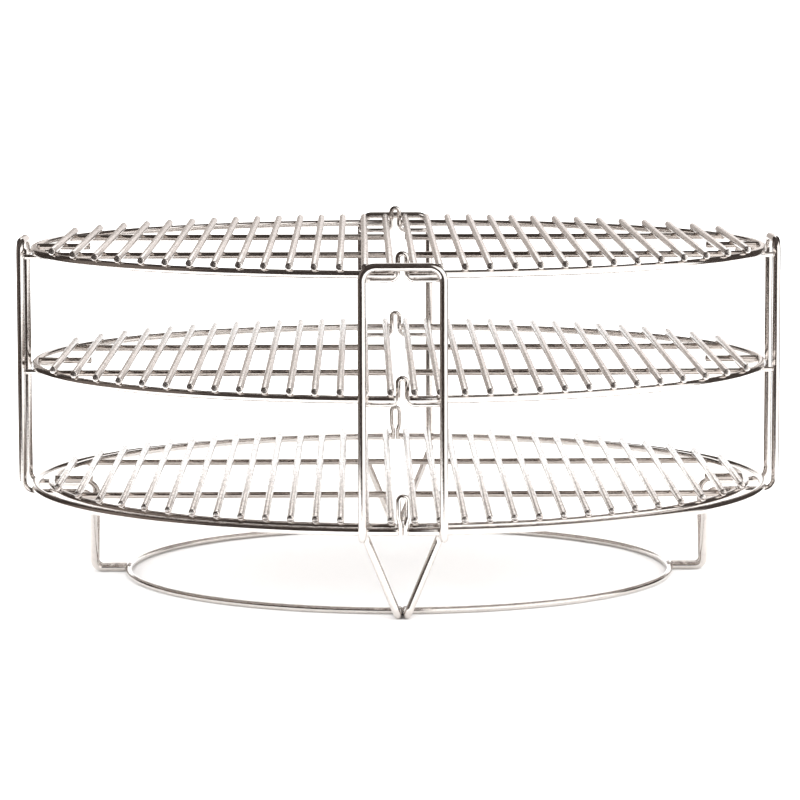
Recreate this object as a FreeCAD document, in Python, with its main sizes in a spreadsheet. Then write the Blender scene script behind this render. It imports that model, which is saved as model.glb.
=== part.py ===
# Three-tier round cooling rack of bent and welded stainless wire, in millimetres.
# A cage of four hoops, two rings and small rest wires holds three pairs of
# lift-out half-moon grates.  The origin is the centre of the footprint on the
# floor, +Z is up, -Y is the front and the grates part along the plane X = 0.
import FreeCAD, Part
import math
import os

from FreeCAD import Placement, Rotation, Vector

doc = FreeCAD.newDocument("CoolingRack")

# Driving dimensions.  Each is written here once and nowhere else.
bars_per_grate = 15
driving_sizes = [
    ("frame_wire", 4.8, "diameter of the wire of hoops, cage ring and grate rims"),
    ("base_wire", 4.0, "diameter of the base ring's wire"),
    ("bar_wire", 4.4, "diameter of the grate bars"),
    ("cross_wire", 4.0, "diameter of the cross wires and end ties under the bars"),
    ("rest_wire", 3.0, "diameter of the rest wires and locators"),
    ("weld_sink", 0.6, "how far two crossing wires sink into each other at a weld"),
    ("lift_clearance", 0.3, "free height under a loose grate where it rests"),
    ("rim_radius", 226.0, "rim of the top and middle grates, centre to wire axis"),
    ("hoop_clearance", 2.7, "free width between those rims and the hoops' uprights"),
    ("ring_inset", 6.5, "hoops' uprights inwards to the cage ring's wire axis"),
    ("nest_clearance", 5.7, "free width between the cage ring and the bottom rims"),
    ("hoop_width", 46.4, "spacing of a hoop's two uprights"),
    ("hoop_corner", 8.0, "bend radius of a hoop's top corners"),
    ("hoop_bend", 7.5, "bend radius where a hoop turns in and turns down"),
    ("leg_inset", 42.7, "hoops' uprights inwards to the plane of the V-shaped legs"),
    ("toe_length", 21.5, "plane of the legs inwards to the base ring's wire axis"),
    ("toe_gap", 0.4, "free width between a hoop's two toes on the floor"),
    ("toe_bend", 5.0, "bend radius where a leg turns in along the floor"),
    ("run_height", 52.9, "height of the hoops' inward runs"),
    ("lower_tier_rise", 74.4, "bottom rims up to the middle rims"),
    ("upper_tier_rise", 71.2, "middle rims up to the top rims"),
    ("top_bar_rise", 4.7, "top rims up to the hoops' top bars"),
    ("loop_spacing", 5.1, "spacing of a locating loop's two legs"),
    ("loop_clearance", 0.55, "free width between a locating loop and the first bars"),
    ("loop_height", 15.1, "rest wire axis to the axis at the top of its loop"),
    ("loop_flare", 4.5, "bend radius at the foot of a locating loop"),
    ("rim_end_overrun", 3.4, "first bar inwards to the cut end of its rim"),
    ("last_bar_inset", 8.3, "edge of the bottom rim's axis inwards to the last bar"),
    ("bar_overhang", 0.4, "how far a bar's end stands out past the rim"),
    ("cross_offset", 79.0, "centre line to a cross wire"),
    ("tie_overrun", 2.3, "inner end of an end tie, inwards of the bar it ends at"),
    ("rest_inset", 13.0, "rim's wire axis inwards to a rest wire's cross piece"),
    ("rest_bend", 5.0, "bend radius of a rest wire's two corners"),
    ("locator_rise", 20.0, "cage ring up to the top of a bottom locator, on its axis"),
    ("locator_spacing", 5.3, "spacing of a bottom locator's legs where it is wide"),
    ("neck_gap", 0.2, "free width between a bottom locator's legs where they pinch"),
    ("neck_rise", 4.5, "cage ring up to where a locator's neck begins to widen"),
    ("neck_spread", 3.6, "height over which the neck widens"),
]

# Places that follow from them, so that what fits together moves together.
derived_sizes = [
    ("hoop_radius", "Sizes.rim_radius + Sizes.frame_wire + Sizes.hoop_clearance",
     "rack centre to the hoops' uprights"),
    ("cage_ring_radius", "hoop_radius - Sizes.ring_inset",
     "cage ring, centre to wire axis"),
    ("low_rim_radius", "cage_ring_radius - Sizes.frame_wire - Sizes.nest_clearance",
     "rim of the bottom grates, centre to wire axis"),
    ("leg_radius", "hoop_radius - Sizes.leg_inset",
     "rack centre to the plane of the legs"),
    ("base_radius", "leg_radius - Sizes.toe_length",
     "base ring, centre to wire axis"),
    ("rest_radius", "Sizes.rim_radius - Sizes.rest_inset",
     "rack centre to a rest wire's cross piece"),
    ("cage_ring_height", "Sizes.run_height + Sizes.frame_wire - Sizes.weld_sink",
     "the cage ring lies welded on the hoops' runs"),
    ("low_rim_height", "Sizes.run_height + Sizes.frame_wire + Sizes.lift_clearance",
     "the bottom rims lie loose on the same runs"),
    ("middle_rim_height", "low_rim_height + Sizes.lower_tier_rise",
     "height of the middle rims"),
    ("top_rim_height", "middle_rim_height + Sizes.upper_tier_rise",
     "height of the top rims"),
    ("hoop_top", "top_rim_height + Sizes.top_bar_rise",
     "height of the hoops' top bars"),
    ("rest_drop", "(Sizes.frame_wire + Sizes.rest_wire) / 2 + Sizes.lift_clearance",
     "rim axis down to the rest wire that carries it"),
    ("bar_rise", "(Sizes.frame_wire + Sizes.bar_wire) / 2 - Sizes.weld_sink",
     "rim axis up to the bars welded on it"),
    ("cross_rise", "bar_rise - (Sizes.bar_wire + Sizes.cross_wire) / 2 + Sizes.weld_sink",
     "rim axis up to the cross wires under the bars"),
    ("first_bar",
     "(Sizes.loop_spacing + Sizes.rest_wire + Sizes.bar_wire) / 2 + Sizes.loop_clearance",
     "centre plane to the first bar, beside the locating loop"),
    ("last_bar", "low_rim_radius - Sizes.last_bar_inset",
     "centre plane to the last bar"),
    ("bar_pitch", "(last_bar - first_bar) / %d" % (bars_per_grate - 1),
     "spacing of the bars"),
    ("rim_gap", "first_bar - Sizes.rim_end_overrun",
     "centre plane to the cut end of a rim"),
    ("tie_reach", "last_bar - bar_pitch - Sizes.tie_overrun",
     "rack centre to the inner end of an end tie"),
    ("toe_spacing", "Sizes.frame_wire + Sizes.toe_gap",
     "spacing of a hoop's two toes, axis to axis"),
    ("neck_spacing", "Sizes.rest_wire + Sizes.neck_gap",
     "spacing of a locator's legs at its neck, axis to axis"),
]


def write_sheet(name, rows):
    """A sheet of aliases, values and what they mean."""
    sheet = doc.addObject("Spreadsheet::Sheet", name)
    for row, (alias, value, meaning) in enumerate(rows, start=1):
        sheet.set("A%d" % row, alias)
        sheet.set("B%d" % row, value if isinstance(value, str) else str(value))
        sheet.set("C%d" % row, meaning)
        sheet.setAlias("B%d" % row, alias)
    doc.recompute()
    return sheet


sizes = write_sheet("Sizes", driving_sizes)
derived = write_sheet("Derived", [(alias, "=" + formula, meaning)
                                  for alias, formula, meaning in derived_sizes])


def size(alias):
    """One driving or derived dimension, read from its sheet."""
    sheet = sizes if alias in [row[0] for row in driving_sizes] else derived
    return float(sheet.get(alias))


nodes = []


def keep(label, piece):
    """Register an object as one sub-part, under its node's name."""
    piece.Label = label
    nodes.append(piece)
    return piece


def bent_wire(corners, radii, diameter):
    """A round wire along straight runs joined by tangent arcs.

    corners are the points where the runs would meet; radii gives the bend at
    each inner corner.
    """
    edges = []
    run_start = corners[0]
    for before, corner, after, radius in zip(corners, corners[1:], corners[2:], radii):
        into = (corner - before).normalize()
        out = (after - corner).normalize()
        turn = into.getAngle(out)
        setback = radius * math.tan(turn / 2)
        arc_start = corner - into * setback
        arc_end = corner + out * setback
        inward = (out - into).normalize()
        centre = corner + inward * (radius / math.cos(turn / 2))
        arc_middle = centre - inward * radius
        if (arc_start - run_start).Length > 1e-6:
            edges.append(Part.LineSegment(run_start, arc_start).toShape())
        edges.append(Part.Arc(arc_start, arc_middle, arc_end).toShape())
        run_start = arc_end
    edges.append(Part.LineSegment(run_start, corners[-1]).toShape())
    path = Part.Wire(edges)
    first_run = (corners[1] - corners[0]).normalize()
    section = Part.Wire(Part.makeCircle(diameter / 2, corners[0], first_run))
    tube = path.makePipeShell([section], True, True)
    ideal = math.pi * diameter ** 2 / 4 * path.Length
    if abs(tube.Volume - ideal) > 0.01 * ideal:
        raise RuntimeError("swept wire has volume %.1f, not %.1f" % (tube.Volume, ideal))
    return tube


def both_sides(half):
    """A symmetric wire's corners: one half, then its mirror image in Y."""
    return half + [Vector(point.x, -point.y, point.z) for point in reversed(half)]


def turned(label, shape, angle):
    """A bent wire as a sub-part, turned about the rack's axis to its place."""
    piece = doc.addObject("Part::Feature", label)
    piece.Shape = shape
    piece.Placement = Placement(Vector(0, 0, 0), Rotation(Vector(0, 0, 1), angle))
    return keep(label, piece)


sides = {"right": 0, "back": 90, "left": 180, "front": 270}


# Hoops.  Each is one wire, drawn here for the +X side: from the base ring out
# along the floor, up the leg, out along the run, up the upright and over.
def hoop_shape():
    half_width = size("hoop_width") / 2
    half_toe = size("toe_spacing") / 2
    floor = size("frame_wire") / 2
    toe_end = size("base_radius") + size("base_wire") / 2 - size("weld_sink")
    half = [
        Vector(toe_end, half_toe, floor),
        Vector(size("leg_radius"), half_toe, floor),
        Vector(size("leg_radius"), half_width, size("run_height")),
        Vector(size("hoop_radius"), half_width, size("run_height")),
        Vector(size("hoop_radius"), half_width, size("hoop_top")),
    ]
    half_bends = [size("toe_bend"), size("hoop_bend"), size("hoop_bend"), size("hoop_corner")]
    return bent_wire(both_sides(half), half_bends + half_bends[::-1], size("frame_wire"))


hoop = hoop_shape()
for side, angle in sides.items():
    turned(side + "_hoop", hoop, angle)


# Rest wires of the top and middle tiers.  Two prongs run in from the uprights
# to a cross piece under the rim; front and back ones carry a locating loop.
def rest_shape(rim_height, has_loop):
    half_width = size("hoop_width") / 2
    level = rim_height - size("rest_drop")
    root = size("hoop_radius") - size("frame_wire") / 2 + size("weld_sink")
    half = [
        Vector(root, half_width, level),
        Vector(size("rest_radius"), half_width, level),
    ]
    half_bends = [size("rest_bend")]
    if has_loop:
        half_loop = size("loop_spacing") / 2
        half.append(Vector(size("rest_radius"), half_loop, level))
        half.append(Vector(size("rest_radius"), half_loop, level + size("loop_height")))
        half_bends += [size("loop_flare"), half_loop]
    return bent_wire(both_sides(half), half_bends + half_bends[::-1], size("rest_wire"))


for tier in ("top", "middle"):
    plain_rest = rest_shape(size(tier + "_rim_height"), False)
    loop_rest = rest_shape(size(tier + "_rim_height"), True)
    for side, angle in sides.items():
        is_locator = side in ("front", "back")
        turned("%s_%s_rest" % (tier, side), loop_rest if is_locator else plain_rest, angle)


# Bottom locators.  A hairpin whose legs pinch together to a neck that stands
# between the ends of the two cage ring halves.
def locator_shape():
    wide = size("locator_spacing") / 2
    neck = size("neck_spacing") / 2
    ring = size("cage_ring_height")
    foot = ring - size("frame_wire") / 2
    radius = size("cage_ring_radius")
    half = [
        Vector(radius, neck, foot),
        Vector(radius, neck, ring + size("neck_rise")),
        Vector(radius, wide, ring + size("neck_rise") + size("neck_spread")),
        Vector(radius, wide, ring + size("locator_rise")),
    ]
    soft_bend = size("rest_wire")
    half_bends = [soft_bend, soft_bend, wide]
    return bent_wire(both_sides(half), half_bends + half_bends[::-1], size("rest_wire"))


locator = locator_shape()
for side in ("front", "back"):
    turned("bottom_%s_locator" % side, locator, sides[side])


def ring_arc(label, radius, wire, height, half_angle, facing):
    """A ring or an arc of one, centred on the direction 'facing' in degrees."""
    ring = doc.addObject("Part::Torus", label)
    ring.setExpression("Radius1", radius)
    ring.setExpression("Radius2", "%s / 2" % wire)
    ring.Angle1 = -180
    ring.Angle2 = 180
    ring.Placement = Placement(Vector(0, 0, 0), Rotation(Vector(0, 0, 1), facing + 90))
    ring.setExpression("Placement.Base.z", height)
    ring.setExpression("Angle3", "2 * %s" % half_angle)
    ring.setExpression("Placement.Rotation.Angle", "%d deg - %s" % (facing + 360, half_angle))
    return keep(label, ring)


ring_arc("base_ring", "Derived.base_radius", "Sizes.base_wire", "Sizes.base_wire / 2", "180 deg", 0)

# The cage ring is two half rings.  Their ends are welded to the locators' necks.
neck_half_width = "((Derived.neck_spacing + Sizes.rest_wire) / 2 - Sizes.weld_sink)"
cage_half_angle = "acos(%s / Derived.cage_ring_radius)" % neck_half_width
grate_sides = {"right": 0, "left": 180}
for side, facing in grate_sides.items():
    ring_arc("cage_ring_" + side, "Derived.cage_ring_radius", "Sizes.frame_wire",
             "Derived.cage_ring_height", cage_half_angle, facing)


# Half-moon grates.  Each has a rim, cross wires and an end tie level with the
# rim, and a row of bars welded on top of them from front to back.
along_y = Rotation(Vector(1, 0, 0), -90)
along_x = Rotation(Vector(0, 1, 0), 90)


def bar_row(label, rim_radius, rim_height, sign):
    """The bars of one grate, each as long as the rim is wide where it lies."""
    reach = "(%s + Sizes.frame_wire / 2 + Sizes.bar_overhang)" % rim_radius
    bars = []
    for index in range(bars_per_grate):
        offset = "(Derived.first_bar + %d * Derived.bar_pitch)" % index
        half_length = "sqrt(%s^2 - %s^2)" % (reach, offset)
        bar = doc.addObject("Part::Cylinder", "%s_%02d" % (label, index + 1))
        bar.setExpression("Radius", "Sizes.bar_wire / 2")
        bar.setExpression("Height", "2 * %s" % half_length)
        bar.Placement = Placement(Vector(0, 0, 0), along_y)
        bar.setExpression("Placement.Base.x", "%d * %s" % (sign, offset))
        bar.setExpression("Placement.Base.y", "-%s" % half_length)
        bar.setExpression("Placement.Base.z", "%s + Derived.bar_rise" % rim_height)
        bars.append(bar)
    row_of_bars = doc.addObject("Part::Compound", label)
    row_of_bars.Links = bars
    return keep(label, row_of_bars)


def level_wire(label, inner, outer, offset, height, sign):
    """A straight wire along X under the bars, from inner to outer."""
    wire = doc.addObject("Part::Cylinder", label)
    wire.setExpression("Radius", "Sizes.cross_wire / 2")
    wire.setExpression("Height", "%s - %s" % (outer, inner))
    wire.Placement = Placement(Vector(0, 0, 0), along_x)
    left_end = inner if sign > 0 else "-%s" % outer
    wire.setExpression("Placement.Base.x", left_end)
    wire.setExpression("Placement.Base.y", offset)
    wire.setExpression("Placement.Base.z", height)
    return keep(label, wire)


def grate(name, rim_radius, rim_height, side):
    sign = 1 if side == "right" else -1
    half_angle = "acos(Derived.rim_gap / %s)" % rim_radius
    ring_arc(name + "_rim", rim_radius, "Sizes.frame_wire", rim_height, half_angle,
             grate_sides[side])
    bar_row(name + "_bars", rim_radius, rim_height, sign)
    cross_height = "%s + Derived.cross_rise" % rim_height
    inner_rim = "(%s - Sizes.frame_wire / 2 + Sizes.weld_sink)" % rim_radius
    inner_end = "(Derived.first_bar - Sizes.bar_wire / 2)"
    outer_end = "sqrt(%s^2 - Sizes.cross_offset^2)" % inner_rim
    for place, offset in (("front", "-Sizes.cross_offset"), ("back", "Sizes.cross_offset")):
        level_wire("%s_%s_wire" % (name, place), inner_end, outer_end, offset, cross_height, sign)
    level_wire(name + "_end_tie", "Derived.tie_reach", inner_rim, "0", cross_height, sign)


for tier in ("top", "middle", "bottom"):
    rim_radius = "Derived.low_rim_radius" if tier == "bottom" else "Sizes.rim_radius"
    rim_height = {"top": "Derived.top_rim_height", "middle": "Derived.middle_rim_height",
                  "bottom": "Derived.low_rim_height"}[tier]
    for side in grate_sides:
        grate("%s_%s" % (tier, side), rim_radius, rim_height, side)

doc.recompute()

# Every object must have built, and every sub-part must be a sound solid.
for built in doc.Objects:
    if "Invalid" in built.State or "Error" in built.State:
        raise RuntimeError("%s did not build: %s" % (built.Label, built.State))
for piece in nodes:
    if piece.Shape.isNull() or not piece.Shape.isValid() or not piece.Shape.Solids:
        raise RuntimeError("%s has no valid solid" % piece.Label)

os.makedirs("parts", exist_ok=True)
for piece in nodes:
    piece.Shape.exportStep("parts/%s.step" % piece.Label)
print("%d nodes written" % len(nodes))
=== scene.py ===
import bpy
import numpy as np
from mathutils import Matrix, Vector


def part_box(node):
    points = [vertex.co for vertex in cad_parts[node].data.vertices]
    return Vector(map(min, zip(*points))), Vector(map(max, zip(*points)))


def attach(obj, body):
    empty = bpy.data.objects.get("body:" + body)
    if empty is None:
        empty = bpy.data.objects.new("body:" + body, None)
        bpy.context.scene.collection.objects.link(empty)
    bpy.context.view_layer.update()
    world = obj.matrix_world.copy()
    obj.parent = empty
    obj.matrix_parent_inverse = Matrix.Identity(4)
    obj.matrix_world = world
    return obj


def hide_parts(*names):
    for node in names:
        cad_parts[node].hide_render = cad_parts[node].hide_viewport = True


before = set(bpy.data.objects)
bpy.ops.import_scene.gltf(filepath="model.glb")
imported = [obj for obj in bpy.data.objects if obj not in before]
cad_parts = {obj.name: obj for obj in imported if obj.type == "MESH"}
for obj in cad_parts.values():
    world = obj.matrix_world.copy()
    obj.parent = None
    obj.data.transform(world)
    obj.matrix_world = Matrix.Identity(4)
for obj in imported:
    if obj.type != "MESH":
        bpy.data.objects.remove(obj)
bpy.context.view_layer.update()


# turning a vector v by an angle about a unit axis k, for a whole array of angles at once:
# v cos + (k x v) sin + k (k . v)(1 - cos)
def turnAbout(vector, axis, angles):
    cosine, sine = np.cos(angles)[:, None], np.sin(angles)[:, None]
    return vector * cosine + np.cross(axis, vector) * sine + axis * (axis @ vector) * (1 - cosine)


# the centre line of a bent wire, as on a bending bench: straight runs, and at each corner an arc
# tangent to both runs. The tangent and a side vector turn together through each arc, so the wire
# never twists. Returns points, tangents and side vectors.
def bentPath(corners, bends, arcStep=0.09):
    corners = np.array(corners, float)
    runs = np.diff(corners, axis=0)
    runs /= np.linalg.norm(runs, axis=1)[:, None]
    side = np.cross(runs[0], runs[1])
    side /= np.linalg.norm(side)
    points, tangents, sides = [corners[:1]], [runs[:1]], [side[None]]
    for corner, into, out, bend in zip(corners[1:-1], runs[:-1], runs[1:], bends):
        axis = np.cross(into, out)
        turn = np.arctan2(np.linalg.norm(axis), into @ out)
        axis /= np.linalg.norm(axis)
        inward = np.cross(axis, into)
        arcStart = corner - into * bend * np.tan(turn / 2)
        angles = np.linspace(0, turn, max(3, int(np.ceil(turn / arcStep)) + 1))
        centre = arcStart + inward * bend
        points.append(centre + turnAbout(-inward * bend, axis, angles))
        tangents.append(turnAbout(into, axis, angles))
        sides.append(turnAbout(side, axis, angles))
        side = sides[-1][-1]
    points.append(corners[-1:])
    tangents.append(runs[-1:])
    sides.append(side[None])
    return np.concatenate(points), np.concatenate(tangents), np.concatenate(sides)


# an arc of a level circle, centred on the direction 'facing': (r cos a, r sin a, z)
def arcPath(radius, height, facing, halfAngle, count):
    angles = facing + np.linspace(-halfAngle, halfAngle, count)
    flat = np.zeros_like(angles)
    points = np.stack([radius * np.cos(angles), radius * np.sin(angles), flat + height], 1)
    tangents = np.stack([-np.sin(angles), np.cos(angles), flat], 1)
    sides = np.stack([np.cos(angles), np.sin(angles), flat], 1)
    return points, tangents, sides


# the end of a cut wire: a nearly flat face, set in from the tip by the dome, that rounds over into
# the side as a quarter ellipse, from (flat share of the radius, no depth) to (radius, full depth)
def roundedEnd(radius, end):
    angles = np.linspace(0, np.pi / 2, end["rings"])
    flat = end["flat"]
    radii = radius * (flat + (1 - flat) * np.sin(angles))
    depths = radius * end["depth"] * (1 - np.cos(angles)) + radius * end["dome"]
    return radii, depths


wireEnd = {"flat": 0.55, "depth": 0.45, "dome": 0.08, "rings": 5}


# a round section carried along a path: point + r (cos a * side + sin a * up). Open wires get a
# rounded end and a pole at each tip. The map runs once round the wire in u and in metres in v.
def wireShell(path, radius, around, closed=False, end=wireEnd):
    points, tangents, sides = path
    radii = np.full(len(points), radius)
    if not closed:
        endRadii, endDepths = roundedEnd(radius, end)
        first = points[0] + tangents[0] * endDepths[:, None]
        last = points[-1] - tangents[-1] * endDepths[::-1, None]
        same = np.ones((len(endDepths), 1))
        points = np.concatenate([first, points[1:-1], last])
        tangents = np.concatenate([same * tangents[0], tangents[1:-1], same * tangents[-1]])
        sides = np.concatenate([same * sides[0], sides[1:-1], same * sides[-1]])
        radii = np.concatenate([endRadii, radii[1:-1], endRadii[::-1]])
    ups = np.cross(tangents, sides)
    angles = np.linspace(0, 2 * np.pi, around, endpoint=False)
    spokes = sides[:, None] * np.cos(angles)[None, :, None] + ups[:, None] * np.sin(angles)[None, :, None]
    vertices = (points[:, None] + spokes * radii[:, None, None]).reshape(-1, 3)
    steps = np.linalg.norm(np.diff(points, axis=0, append=points[:1]), axis=1)
    along = np.concatenate([[0], np.cumsum(steps)])
    stations = len(points)
    rows, columns = np.meshgrid(np.arange(stations if closed else stations - 1),
                                np.arange(around), indexing="ij")
    rows, columns = rows.ravel(), columns.ravel()
    nextRows, nextColumns = (rows + 1) % stations, (columns + 1) % around
    quads = np.stack([rows * around + columns, rows * around + nextColumns,
                      nextRows * around + nextColumns, nextRows * around + columns], 1)
    quadMap = np.stack([
        np.stack([columns, columns + 1, columns + 1, columns], 1) / around,
        np.stack([along[rows], along[rows], along[rows + 1], along[rows + 1]], 1)], 2)
    if closed:
        return {"vertices": vertices, "quads": quads, "quadMap": quadMap,
                "tris": np.zeros((0, 3), int), "triMap": np.zeros((0, 3, 2))}
    tips = np.stack([path[0][0], path[0][-1]])
    column = np.arange(around)
    after = (column + 1) % around
    firstTip, lastTip = len(vertices), len(vertices) + 1
    lastRing = (stations - 1) * around
    tris = np.concatenate([
        np.stack([after, column, np.full(around, firstTip)], 1),
        np.stack([lastRing + column, lastRing + after, np.full(around, lastTip)], 1)])
    tipMap = np.stack([np.stack([after, column, column + 0.5], 1) / around,
                       np.zeros((around, 3))], 2)
    return {"vertices": np.concatenate([vertices, tips]), "quads": quads, "quadMap": quadMap,
            "tris": tris, "triMap": np.concatenate([tipMap, tipMap])}


# a straight wire between two points
def straightShell(start, stop, radius, around, end=wireEnd):
    start, stop = np.array(start, float), np.array(stop, float)
    direction = (stop - start) / np.linalg.norm(stop - start)
    side = np.cross(direction, [0, 0, 1.0])
    side /= np.linalg.norm(side)
    stations = np.linspace(0, 1, 3)[:, None]
    same = np.ones_like(stations)
    return wireShell((start + (stop - start) * stations, same * direction, same * side),
                     radius, around, end=end)


# a weld bead: a squashed ball, radius (1 + bumps) on a grid of longitude and latitude, with its
# own seeded bumps; 'sizes' are its half axes along the directions of the rows of 'axes'
def beadShell(centre, sizes, axes, seed, columns=8, bands=5, bumps=0.10):
    noise = np.random.default_rng(seed)
    latitude = np.linspace(0, np.pi, bands + 1)[1:-1]
    longitude = np.linspace(0, 2 * np.pi, columns, endpoint=False)
    lat, lon = np.meshgrid(latitude, longitude, indexing="ij")
    grow = 1 + noise.uniform(-bumps, bumps, lat.shape)
    ball = np.stack([np.sin(lat) * np.cos(lon), np.sin(lat) * np.sin(lon), np.cos(lat)], 2)
    local = np.concatenate([(ball * grow[..., None]).reshape(-1, 3), [[0, 0, 1]], [[0, 0, -1]]])
    vertices = np.array(centre) + (local * np.array(sizes)) @ np.array(axes, float)
    rings = bands - 1
    rows, cols = np.meshgrid(np.arange(rings - 1), np.arange(columns), indexing="ij")
    rows, cols = rows.ravel(), cols.ravel()
    nextCols = (cols + 1) % columns
    quads = np.stack([rows * columns + cols, (rows + 1) * columns + cols,
                      (rows + 1) * columns + nextCols, rows * columns + nextCols], 1)
    quadMap = np.stack([np.stack([cols, cols, cols + 1, cols + 1], 1) / columns,
                        np.stack([rows, rows + 1, rows + 1, rows], 1) / rings], 2)
    col = np.arange(columns)
    after = (col + 1) % columns
    top, bottom = rings * columns, rings * columns + 1
    lastRing = (rings - 1) * columns
    tris = np.concatenate([
        np.stack([col, after, np.full(columns, top)], 1),
        np.stack([lastRing + after, lastRing + col, np.full(columns, bottom)], 1)])
    return {"vertices": vertices, "quads": quads, "quadMap": quadMap, "tris": tris,
            "triMap": np.zeros((2 * columns, 3, 2))}


# several shells as one mesh object: the vertex numbers of each shell are moved up by the number
# of vertices before it
def makePiece(name, shells, nodes, body, material):
    starts = np.cumsum([0] + [len(shell["vertices"]) for shell in shells[:-1]])
    vertices = np.concatenate([shell["vertices"] for shell in shells])
    quads = np.concatenate([shell["quads"] + start for shell, start in zip(shells, starts)])
    tris = np.concatenate([shell["tris"] + start for shell, start in zip(shells, starts)])
    mesh = bpy.data.meshes.new(name)
    mesh.from_pydata(vertices.tolist(), [], quads.tolist() + tris.tolist())
    uv = np.concatenate([np.concatenate([shell["quadMap"] for shell in shells]).reshape(-1, 2),
                         np.concatenate([shell["triMap"] for shell in shells]).reshape(-1, 2)])
    layer = mesh.uv_layers.new(name="wireMap")
    layer.data.foreach_set("uv", uv.astype(np.float32).ravel())
    mesh.polygons.foreach_set("use_smooth", np.ones(len(mesh.polygons), bool))
    mesh.materials.append(material)
    mesh.update()
    piece = bpy.data.objects.new(name, mesh)
    bpy.context.scene.collection.objects.link(piece)
    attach(piece, body)
    if nodes:
        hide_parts(*nodes)


# a turn about the upright axis, for rows of points: (x cos - y sin, x sin + y cos, z)
def uprightTurn(angle):
    cosine, sine = np.cos(angle), np.sin(angle)
    return np.array([[cosine, sine, 0], [-sine, cosine, 0], [0, 0, 1]])


# a path turned about the upright axis
def turnedPath(path, angle):
    turn = uprightTurn(angle)
    return tuple(part @ turn for part in path)


# half of a wire's corners and bends, and then their mirror image in y
def mirrored(half, bends):
    half = np.array(half, float)
    return np.concatenate([half, half[::-1] * [1, -1, 1]]), bends + bends[::-1]


# low corner, high corner and middle of a node's box
def boxOf(node):
    low, high = (np.array(corner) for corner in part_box(node))
    return low, high, (low + high) / 2


# scales are in repeats per metre, except "streaks", which counts them once round the wire
steels = {
    "frame_steel": {"colour": (0.72, 0.68, 0.65), "dark": (0.50, 0.46, 0.43),
                    "roughness": (0.07, 0.16), "streaks": 26.0, "alongScale": 30.0,
                    "spots": 420.0, "spotAmount": 0.30, "stained": (0.50, 0.72),
                    "bump": 0.10, "grain": 1500.0},
    "bar_steel": {"colour": (0.79, 0.745, 0.715), "dark": (0.38, 0.335, 0.305),
                  "roughness": (0.12, 0.26), "streaks": 14.0, "alongScale": 60.0,
                  "spots": 260.0, "spotAmount": 0.60, "stained": (0.45, 0.64),
                  "bump": 0.22, "grain": 1100.0},
    "cross_steel": {"colour": (0.47, 0.42, 0.385), "dark": (0.26, 0.22, 0.20),
                    "roughness": (0.10, 0.20), "streaks": 20.0, "alongScale": 40.0,
                    "spots": 500.0, "spotAmount": 0.35, "stained": (0.50, 0.72),
                    "bump": 0.12, "grain": 1400.0},
}
# the part of the streak noise that runs from glossy to dull, how fine each noise goes, and how
# deep the relief is in metres
streakSpread = (0.30, 0.70)
noiseDetail = {"streaks": 3.0, "stains": 4.0, "grain": 2.0}
reliefDepth = 0.0002


# polished drawn wire: fine marks that run along the wire from its own map, cloudy stains and
# small pits from object coordinates, and both move the colour, the gloss and the bump a little
def steelMaterial(name, finish):
    material = bpy.data.materials.new(name)
    material.use_nodes = True
    nodes, links = material.node_tree.nodes, material.node_tree.links
    nodes.clear()

    def add(kind, **values):
        node = nodes.new(kind)
        for key, value in values.items():
            setattr(node, key, value)
        return node

    def noise(vector, scale, detail):
        texture = add("ShaderNodeTexNoise")
        texture.inputs["Scale"].default_value = scale
        texture.inputs["Detail"].default_value = detail
        links.new(vector, texture.inputs["Vector"])
        return texture.outputs["Fac"]

    def spread(value, taken, given):
        step = add("ShaderNodeMapRange")
        for key, number in zip(("From Min", "From Max", "To Min", "To Max"), (*taken, *given)):
            step.inputs[key].default_value = number
        links.new(value, step.inputs["Value"])
        return step.outputs["Result"]

    output = add("ShaderNodeOutputMaterial")
    shader = add("ShaderNodeBsdfPrincipled")
    shader.inputs["Metallic"].default_value = 1.0
    links.new(shader.outputs["BSDF"], output.inputs["Surface"])
    wireMap = add("ShaderNodeUVMap", uv_map="wireMap")
    stretch = add("ShaderNodeMapping")
    stretch.inputs["Scale"].default_value = (finish["streaks"], finish["alongScale"], 1.0)
    links.new(wireMap.outputs["UV"], stretch.inputs["Vector"])
    streaks = noise(stretch.outputs["Vector"], 1.0, noiseDetail["streaks"])
    place = add("ShaderNodeTexCoord").outputs["Object"]
    stains = noise(place, finish["spots"], noiseDetail["stains"])
    grain = noise(place, finish["grain"], noiseDetail["grain"])
    spots = spread(stains, finish["stained"], (0.0, finish["spotAmount"]))
    colour = add("ShaderNodeMix", data_type="RGBA")
    colour.inputs["A"].default_value = (*finish["colour"], 1)
    colour.inputs["B"].default_value = (*finish["dark"], 1)
    links.new(spots, colour.inputs["Factor"])
    links.new(colour.outputs["Result"], shader.inputs["Base Color"])
    gloss = spread(streaks, streakSpread, finish["roughness"])
    links.new(gloss, shader.inputs["Roughness"])
    relief = add("ShaderNodeMath", operation="ADD")
    links.new(streaks, relief.inputs[0])
    links.new(grain, relief.inputs[1])
    bump = add("ShaderNodeBump")
    bump.inputs["Strength"].default_value = finish["bump"]
    bump.inputs["Distance"].default_value = reliefDepth
    links.new(relief.outputs["Value"], bump.inputs["Height"])
    links.new(bump.outputs["Normal"], shader.inputs["Normal"])
    return material


materials = {slot: steelMaterial(slot, finish) for slot, finish in steels.items()}
print("steel finishes:", len(materials))

# which way each side of the rack faces, and how deep welded wires sink into each other
sideAngles = {"right": 0.0, "back": np.pi / 2, "left": np.pi, "front": -np.pi / 2}
weldSink = 0.0006

hoopWire = {"radius": 0.0024, "corner": 0.008, "bend": 0.0075, "legInset": 0.0427, "toeGap": 0.0004,
            "toeBend": 0.005, "around": 28}


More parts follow.
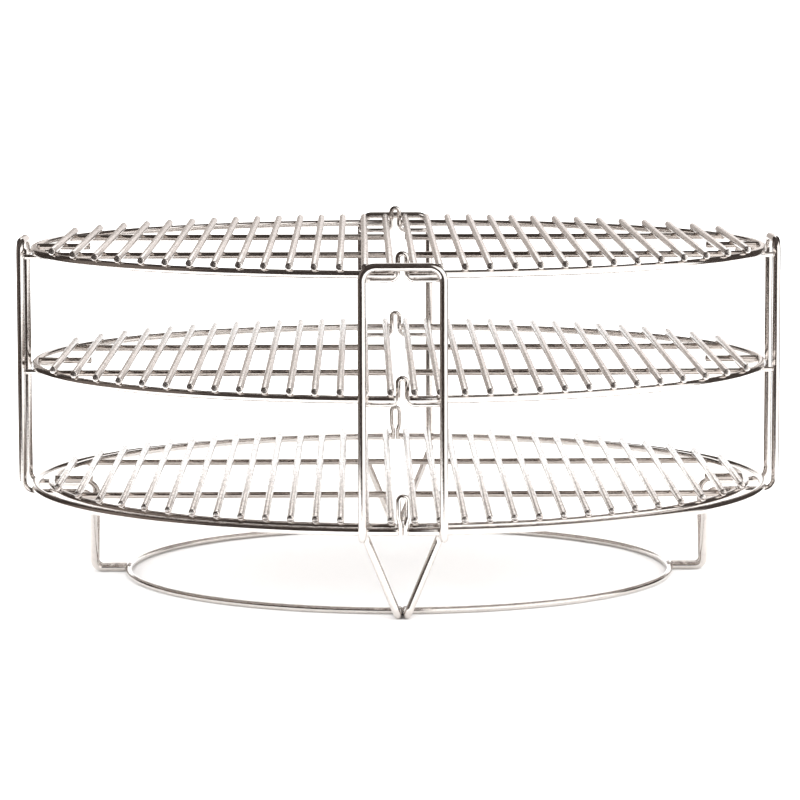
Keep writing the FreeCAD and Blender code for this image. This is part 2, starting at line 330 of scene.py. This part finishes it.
# a hoop is one wire: in the +X hoop's frame, toe, leg, run, upright and half the top bar, mirrored
def hoopPath():
    low, high = boxOf("right_hoop")[:2]
    ringHeight = boxOf("cage_ring_right")[2][2]
    radius = hoopWire["radius"]
    upright = high[0] - radius
    halfWidth = high[1] - radius
    halfToe = radius + hoopWire["toeGap"] / 2
    leg = upright - hoopWire["legInset"]
    run = ringHeight - 2 * radius + weldSink
    half = [(low[0], halfToe, radius), (leg, halfToe, radius), (leg, halfWidth, run),
            (upright, halfWidth, run), (upright, halfWidth, high[2] - radius)]
    bends = [hoopWire["toeBend"], hoopWire["bend"], hoopWire["bend"], hoopWire["corner"]]
    return bentPath(*mirrored(half, bends))


hoopLine = hoopPath()
for side, angle in sideAngles.items():
    shell = wireShell(turnedPath(hoopLine, angle), hoopWire["radius"], hoopWire["around"])
    makePiece("hoop" + side.title(), [shell], [side + "_hoop"], "cage",
              materials["frame_steel"])
print("hoops: 4")

baseWire = {"radius": 0.002, "count": 240, "around": 24}


# the base ring is a full circle, with its axis one wire radius off the floor
def baseRing():
    high = boxOf("base_ring")[1]
    count = baseWire["count"]
    radius = high[0] - baseWire["radius"]
    path = arcPath(radius, high[2] - baseWire["radius"], 0.0, np.pi * (1 - 1 / count), count)
    shell = wireShell(path, baseWire["radius"], baseWire["around"], closed=True)
    makePiece("baseRing", [shell], ["base_ring"], "cage", materials["frame_steel"])


baseRing()

rimWire = {"radius": 0.0024, "count": 150, "around": 24}


# half a ring, from cut end to cut end: the node's box gives the radius, the height and where the
# ends stop short of the middle plane
def halfRing(name, node, facing, body):
    low, high, middle = boxOf(node)
    sign = 1 if facing == 0.0 else -1
    outer = high[0] if sign > 0 else -low[0]
    gap = low[0] if sign > 0 else -high[0]
    radius = outer - rimWire["radius"]
    path = arcPath(radius, middle[2], facing, np.arccos(gap / radius), rimWire["count"])
    shell = wireShell(path, rimWire["radius"], rimWire["around"])
    makePiece(name, [shell], [node], body, materials["frame_steel"])


for side in ("left", "right"):
    halfRing("cageRing" + side.title(), "cage_ring_" + side, sideAngles[side], "cage")
print("rings: base ring and two half rings")

restWire = {"radius": 0.0015, "bend": 0.005, "loopWidth": 0.0051, "flare": 0.0045, "around": 20,
            "arcStep": 0.16}


# a rest wire in the +X hoop's frame: prong, half the cross piece and, on the front and back ones,
# one leg of the loop, mirrored
def restPath(tier, hasLoop):
    low, high, middle = boxOf(tier + "_right_rest")
    radius = restWire["radius"]
    cross = low[0] + radius
    halfWidth = high[1] - radius
    half = [(high[0], halfWidth, middle[2]), (cross, halfWidth, middle[2])]
    bends = [restWire["bend"]]
    if hasLoop:
        halfLoop = restWire["loopWidth"] / 2
        loopTop = boxOf(tier + "_front_rest")[1][2] - radius
        half += [(cross, halfLoop, middle[2]), (cross, halfLoop, loopTop)]
        bends += [restWire["flare"], halfLoop]
    return bentPath(*mirrored(half, bends), restWire["arcStep"])


for tier in ("top", "middle"):
    for side, angle in sideAngles.items():
        path = turnedPath(restPath(tier, side in ("front", "back")), angle)
        shell = wireShell(path, restWire["radius"], restWire["around"])
        makePiece("rest" + tier.title() + side.title(), [shell], ["%s_%s_rest" % (tier, side)],
                  "cage", materials["frame_steel"])

locatorWire = {"neckGap": 0.0002, "width": 0.0053, "neckRise": 0.0045, "neckSpread": 0.0036, "bend": 0.003}


# a bottom locator: a hairpin whose legs pinch together between the ends of the half rings
def locatorPath():
    low, high, middle = boxOf("bottom_back_locator")
    ringHeight = boxOf("cage_ring_right")[2][2]
    radius = restWire["radius"]
    neck = radius + locatorWire["neckGap"] / 2
    wide = locatorWire["width"] / 2
    level = ringHeight + locatorWire["neckRise"]
    half = [(middle[1], neck, low[2]), (middle[1], neck, level),
            (middle[1], wide, level + locatorWire["neckSpread"]), (middle[1], wide, high[2] - radius)]
    bends = [locatorWire["bend"], locatorWire["bend"], wide]
    return bentPath(*mirrored(half, bends), restWire["arcStep"])


for side in ("front", "back"):
    shell = wireShell(turnedPath(locatorPath(), sideAngles[side]), restWire["radius"], restWire["around"])
    makePiece("locator" + side.title(), [shell], ["bottom_%s_locator" % side], "cage",
              materials["frame_steel"])
print("rests and locators: 10")

# half axes of each kind of bead, how far the toe and prong beads sink in, where the neck beads
# sit, and the first seed with its step from side to side
cageBeads = {"toe": (0.0012, 0.0026, 0.0010), "run": (0.0024, 0.0026, 0.0010),
             "prong": (0.0012, 0.0020, 0.0018), "neck": (0.0018, 0.0022, 0.0016),
             "toeSink": 0.0002, "prongSink": 0.0004, "neckSide": 0.0034, "seed": 4000,
             "sideStep": 100}


# the cage's weld beads: where a toe sits on the base ring, a half ring on a run, a prong against
# an upright and a locator's neck between the ring ends. Each place is worked out in the +X hoop's
# frame, then turned to its own side
def cageWelds():
    high = boxOf("right_hoop")[1]
    radius = hoopWire["radius"]
    baseTop = boxOf("base_ring")[1][2]
    baseAxis = boxOf("base_ring")[1][0] - baseWire["radius"]
    ringAxis = boxOf("cage_ring_right")[1][0] - radius
    ringFoot = boxOf("cage_ring_right")[0][2]
    toe = radius + hoopWire["toeGap"] / 2
    places = []
    for across in (-1, 1):
        places.append(((baseAxis, across * toe, baseTop - cageBeads["toeSink"]), "toe"))
        wide = across * (high[1] - radius)
        places.append(((np.sqrt(ringAxis ** 2 - wide ** 2), wide, ringFoot + weldSink / 2), "run"))
        for tier in ("top", "middle"):
            restHigh, restMiddle = boxOf(tier + "_right_rest")[1:]
            inside = across * (restHigh[1] - restWire["radius"])
            places.append(((high[0] - 2 * radius + cageBeads["prongSink"], inside, restMiddle[2]),
                           "prong"))
    ringLevel = boxOf("cage_ring_right")[2][2]
    necks = [((ringAxis, across * cageBeads["neckSide"], ringLevel), "neck") for across in (-1, 1)]
    shells = []
    for number, (side, angle) in enumerate(sideAngles.items()):
        turn = uprightTurn(angle)
        own = places + necks if side in ("front", "back") else places
        seed = cageBeads["seed"] + cageBeads["sideStep"] * number
        for index, (place, kind) in enumerate(own):
            shells.append(beadShell(np.array(place) @ turn, cageBeads[kind], turn, seed + index))
    makePiece("weldsCage", shells, [], "cage", materials["frame_steel"])


cageWelds()

barWire = {"radius": 0.0022, "count": 15, "around": 20}
barEnd = {"flat": 0.70, "depth": 0.28, "dome": 0.03, "rings": 5}


# where the bars of one grate lie: evenly spaced between the first and the last, each reaching a
# little past the rim, so half its length is sqrt(reach^2 - x^2)
def barPlaces(node, sign):
    low, high, middle = boxOf(node)
    inner, outer = (low[0], high[0]) if sign > 0 else (-high[0], -low[0])
    offsets = np.linspace(inner + barWire["radius"], outer - barWire["radius"], barWire["count"])
    reach = np.hypot(high[1], offsets[0])
    return sign * offsets, np.sqrt(reach ** 2 - offsets ** 2), middle[2]


# the bars of one grate, as straight wires in one mesh; the cut face of each is flat in the middle
# and rounds over at the edge
def barsPiece(name, node, sign, body):
    offsets, halves, height = barPlaces(node, sign)
    shells = [straightShell((x, -half, height), (x, half, height), barWire["radius"],
                            barWire["around"], barEnd)
              for x, half in zip(offsets, halves)]
    makePiece(name, shells, [node], body, materials["bar_steel"])
    return offsets, halves, height


crossWire = {"radius": 0.002, "around": 20}


# a cross wire or an end tie lies along x, from one end of its node's box to the other
def levelWirePiece(name, node, body):
    low, high, middle = boxOf(node)
    shell = straightShell((low[0], middle[1], middle[2]), (high[0], middle[1], middle[2]),
                          crossWire["radius"], crossWire["around"])
    makePiece(name, [shell], [node], body, materials["cross_steel"])
    return low, high, middle


# half axes of each kind of bead, how far a tip bead sits in from its wire's end, how far past a
# cross wire's end a bar still meets it and how near its own end it doesn't, and the first seed
# with its steps from tier to tier and from left to right
beadSizes = {"atRim": (0.0022, 0.0022, 0.0010), "atCross": (0.0022, 0.0022, 0.0009),
             "atTip": (0.0016, 0.0026, 0.0022), "inset": 0.0004, "reach": 0.001, "endRoom": 0.006,
             "seed": 1000, "tierStep": 100, "sideStep": 50}
squareAxes = np.eye(3)

for level, tier in enumerate(("top", "middle", "bottom")):
    for side in ("left", "right"):
        sign = 1 if side == "right" else -1
        name = tier.title() + side.title()
        node = "%s_%s" % (tier, side)
        body = node + "_grate"
        halfRing("rim" + name, node + "_rim", sideAngles[side], body)
        offsets, halves, barHeight = barsPiece("bars" + name, node + "_bars", sign, body)
        contact = barHeight - barWire["radius"] + weldSink / 2
        rimLow, rimHigh = boxOf(node + "_rim")[:2]
        rimRadius = max(abs(rimLow[0]), abs(rimHigh[0])) - rimWire["radius"]
        beads = []
        seed = beadSizes["seed"] + beadSizes["tierStep"] * level + beadSizes["sideStep"] * (sign > 0)
        crossReach = []
        for end, cross in (("Front", "_front_wire"), ("Back", "_back_wire"), ("Tie", "_end_tie")):
            low, high, middle = levelWirePiece("cross" + name + end, node + cross, body)
            crossReach.append((low[0], high[0], middle[1]))
            tip = high[0] if sign > 0 else low[0]
            beads.append(beadShell((tip - sign * beadSizes["inset"], middle[1], middle[2]),
                                   beadSizes["atTip"], squareAxes, seed + len(beads)))
        for x, half in zip(offsets, halves):
            rimY = np.sqrt(rimRadius ** 2 - x ** 2)
            for y in (-rimY, rimY):
                beads.append(beadShell((x, y, contact), beadSizes["atRim"], squareAxes,
                                       seed + len(beads)))
            for start, stop, y in crossReach:
                onWire = start - beadSizes["reach"] < x < stop + beadSizes["reach"]
                if onWire and abs(y) < half - beadSizes["endRoom"]:
                    beads.append(beadShell((x, y, contact), beadSizes["atCross"], squareAxes,
                                           seed + len(beads)))
        makePiece("welds" + name, beads, [], body, materials["cross_steel"])
print("grates: 6")

studio = {"tableSize": 1.2, "tableCorner": 0.20, "cornerPoints": 9, "tableRoughness": 0.9,
          "tableColour": (0.93, 0.93, 0.93), "white": 2.2, "room": (1.75, 1.73, 1.71),
          "cardPlace": 0.5, "cardWidth": 0.8, "cardTop": 0.152, "cardLight": 1.45}

# what polished wire finds in the room, over its white: azimuths from -Y (towards +X is positive)
# and heights in degrees, the softness of the edges, and the brightness
flags = [
    {"azimuth": (-200, 200), "height": (50, 100), "soft": 10.0, "light": (0.085, 0.070, 0.062)},
    {"azimuth": (-173, 11), "height": (-40, 60), "soft": 3.0, "light": (0.042, 0.031, 0.026)},
    {"azimuth": (-125, -68), "height": (-40, 40), "soft": 9.0, "light": (0.20, 0.165, 0.145)},
    {"azimuth": (104, 171), "height": (-40, 60), "soft": 3.0, "light": (0.060, 0.048, 0.042)},
    {"azimuth": (-190, -163), "height": (-8, 14), "soft": 2.0, "light": (0.53, 0.475, 0.44)},
    {"azimuth": (163, 190), "height": (-8, 14), "soft": 2.0, "light": (1.02, 0.95, 0.91)},
]


# the floor is the pale sheet of a table; its round corner (centre + r (cos a, sin a)) is worked out
# in one quarter and mirrored into the others
def makeTable():
    half, corner = studio["tableSize"] / 2, studio["tableCorner"]
    angles = np.linspace(0, np.pi / 2, studio["cornerPoints"])
    quarter = half - corner + corner * np.stack([np.cos(angles), np.sin(angles)], 1)
    turns = [(1, 1, 1), (-1, 1, -1), (-1, -1, 1), (1, -1, -1)]
    rim = np.concatenate([quarter[::order] * (x, y) for x, y, order in turns])
    mesh = bpy.data.meshes.new("table")
    mesh.from_pydata(np.pad(rim, ((0, 0), (0, 1))).tolist(), [], [list(range(len(rim)))])
    material = bpy.data.materials.new("paleTable")
    material.use_nodes = True
    shader = material.node_tree.nodes["Principled BSDF"]
    shader.inputs["Base Color"].default_value = (*studio["tableColour"], 1)
    shader.inputs["Roughness"].default_value = studio["tableRoughness"]
    shader.inputs["Specular IOR Level"].default_value = 0.0
    mesh.materials.append(material)
    table = bpy.data.objects.new("table", mesh)
    bpy.context.scene.collection.objects.link(table)


# a low white card behind the rack, which only the wires' reflections see
def makeCard():
    half, place, top = studio["cardWidth"] / 2, studio["cardPlace"], studio["cardTop"]
    mesh = bpy.data.meshes.new("backCard")
    mesh.from_pydata([(-half, place, 0), (half, place, 0), (half, place, top), (-half, place, top)],
                     [], [(0, 1, 2, 3)])
    material = bpy.data.materials.new("whiteCard")
    material.use_nodes = True
    nodes = material.node_tree.nodes
    nodes.clear()
    glow = nodes.new("ShaderNodeEmission")
    glow.inputs["Strength"].default_value = studio["cardLight"]
    output = nodes.new("ShaderNodeOutputMaterial")
    material.node_tree.links.new(glow.outputs["Emission"], output.inputs["Surface"])
    mesh.materials.append(material)
    card = bpy.data.objects.new("backCard", mesh)
    card.visible_camera = card.visible_diffuse = card.visible_shadow = False
    bpy.context.scene.collection.objects.link(card)


softbox = {"place": (1.1, -1.0, 1.6), "size": 1.6, "power": 9.0}


# one large soft light up to the right, aimed at the rack, which only the table feels
def makeSoftbox():
    light = bpy.data.lights.new("softbox", "AREA")
    light.shape = "SQUARE"
    light.size = softbox["size"]
    light.energy = softbox["power"]
    lamp = bpy.data.objects.new("softbox", light)
    lamp.location = softbox["place"]
    lamp.rotation_euler = Vector(softbox["place"]).to_track_quat("Z", "Y").to_euler()
    lamp.visible_glossy = False
    bpy.context.scene.collection.objects.link(lamp)


# the room round the rack: plain white for the table's light and for the view; for reflections a
# white room with dark flags, each the product of smooth steps of azimuth and height
def makeRoom():
    world = bpy.data.worlds.new("studioRoom")
    world.use_nodes = True
    nodes, links = world.node_tree.nodes, world.node_tree.links
    nodes.clear()

    def calculate(operation, first, second=None):
        node = nodes.new("ShaderNodeMath")
        node.operation = operation
        for socket, value in zip(node.inputs, (first, second)):
            if isinstance(value, (int, float)):
                socket.default_value = value
            elif value is not None:
                links.new(value, socket)
        return node.outputs["Value"]

    def smooth(value, start, stop):
        step = nodes.new("ShaderNodeMapRange")
        step.interpolation_type = "SMOOTHSTEP"
        step.inputs["From Min"].default_value = start
        step.inputs["From Max"].default_value = stop
        links.new(value, step.inputs["Value"])
        return step.outputs["Result"]

    direction = nodes.new("ShaderNodeTexCoord")
    parts = nodes.new("ShaderNodeSeparateXYZ")
    links.new(direction.outputs["Generated"], parts.inputs["Vector"])
    toCamera = calculate("MULTIPLY", parts.outputs["Y"], -1.0)
    azimuth = calculate("DEGREES", calculate("ARCTAN2", parts.outputs["X"], toCamera))
    height = calculate("DEGREES", calculate("ARCSINE", parts.outputs["Z"]))
    colour = None
    for flag in flags:
        soft = flag["soft"]
        share = None
        for value, (start, stop) in ((azimuth, flag["azimuth"]), (height, flag["height"])):
            past = smooth(value, stop - soft, stop + soft)
            inside = calculate("MULTIPLY", smooth(value, start - soft, start + soft),
                               calculate("SUBTRACT", 1.0, past))
            share = inside if share is None else calculate("MULTIPLY", share, inside)
        mix = nodes.new("ShaderNodeMix")
        mix.data_type = "RGBA"
        mix.inputs["A"].default_value = (*studio["room"], 1)
        mix.inputs["B"].default_value = (*flag["light"], 1)
        if colour is not None:
            links.new(colour, mix.inputs["A"])
        links.new(share, mix.inputs["Factor"])
        colour = mix.outputs["Result"]
    plain = nodes.new("ShaderNodeBackground")
    plain.inputs["Color"].default_value = (1, 1, 1, 1)
    plain.inputs["Strength"].default_value = studio["white"]
    seen = nodes.new("ShaderNodeBackground")
    links.new(colour, seen.inputs["Color"])
    lightPath = nodes.new("ShaderNodeLightPath")
    choose = nodes.new("ShaderNodeMixShader")
    links.new(lightPath.outputs["Is Glossy Ray"], choose.inputs["Fac"])
    links.new(plain.outputs["Background"], choose.inputs[1])
    links.new(seen.outputs["Background"], choose.inputs[2])
    output = nodes.new("ShaderNodeOutputWorld")
    links.new(choose.outputs["Shader"], output.inputs["Surface"])
    bpy.context.scene.world = world


cameraPlace = {"location": (-0.02435, -2.39697, 0.37294), "yaw": 0.600, "pitch": 6.325, "roll": -0.131,
               "lens": 173.475, "sensor": 36.0, "clipEnd": 200.0}


# the camera looks along +Y, turned by yaw towards +X, tipped down by pitch and rolled about its
# own line of sight
def makeCamera():
    yaw, pitch, roll = (np.radians(cameraPlace[key]) for key in ("yaw", "pitch", "roll"))
    data = bpy.data.cameras.new("camera")
    data.lens = cameraPlace["lens"]
    data.sensor_width = cameraPlace["sensor"]
    data.clip_end = cameraPlace["clipEnd"]
    camera = bpy.data.objects.new("camera", data)
    camera.matrix_world = (Matrix.Translation(cameraPlace["location"]) @ Matrix.Rotation(-yaw, 4, "Z")
                           @ Matrix.Rotation(np.pi / 2 - pitch, 4, "X") @ Matrix.Rotation(roll, 4, "Z"))
    bpy.context.scene.collection.objects.link(camera)
    bpy.context.scene.camera = camera


makeTable()
makeCard()
makeSoftbox()
makeRoom()
makeCamera()
bpy.context.scene.view_settings.view_transform = "Standard"
print("studio ready")
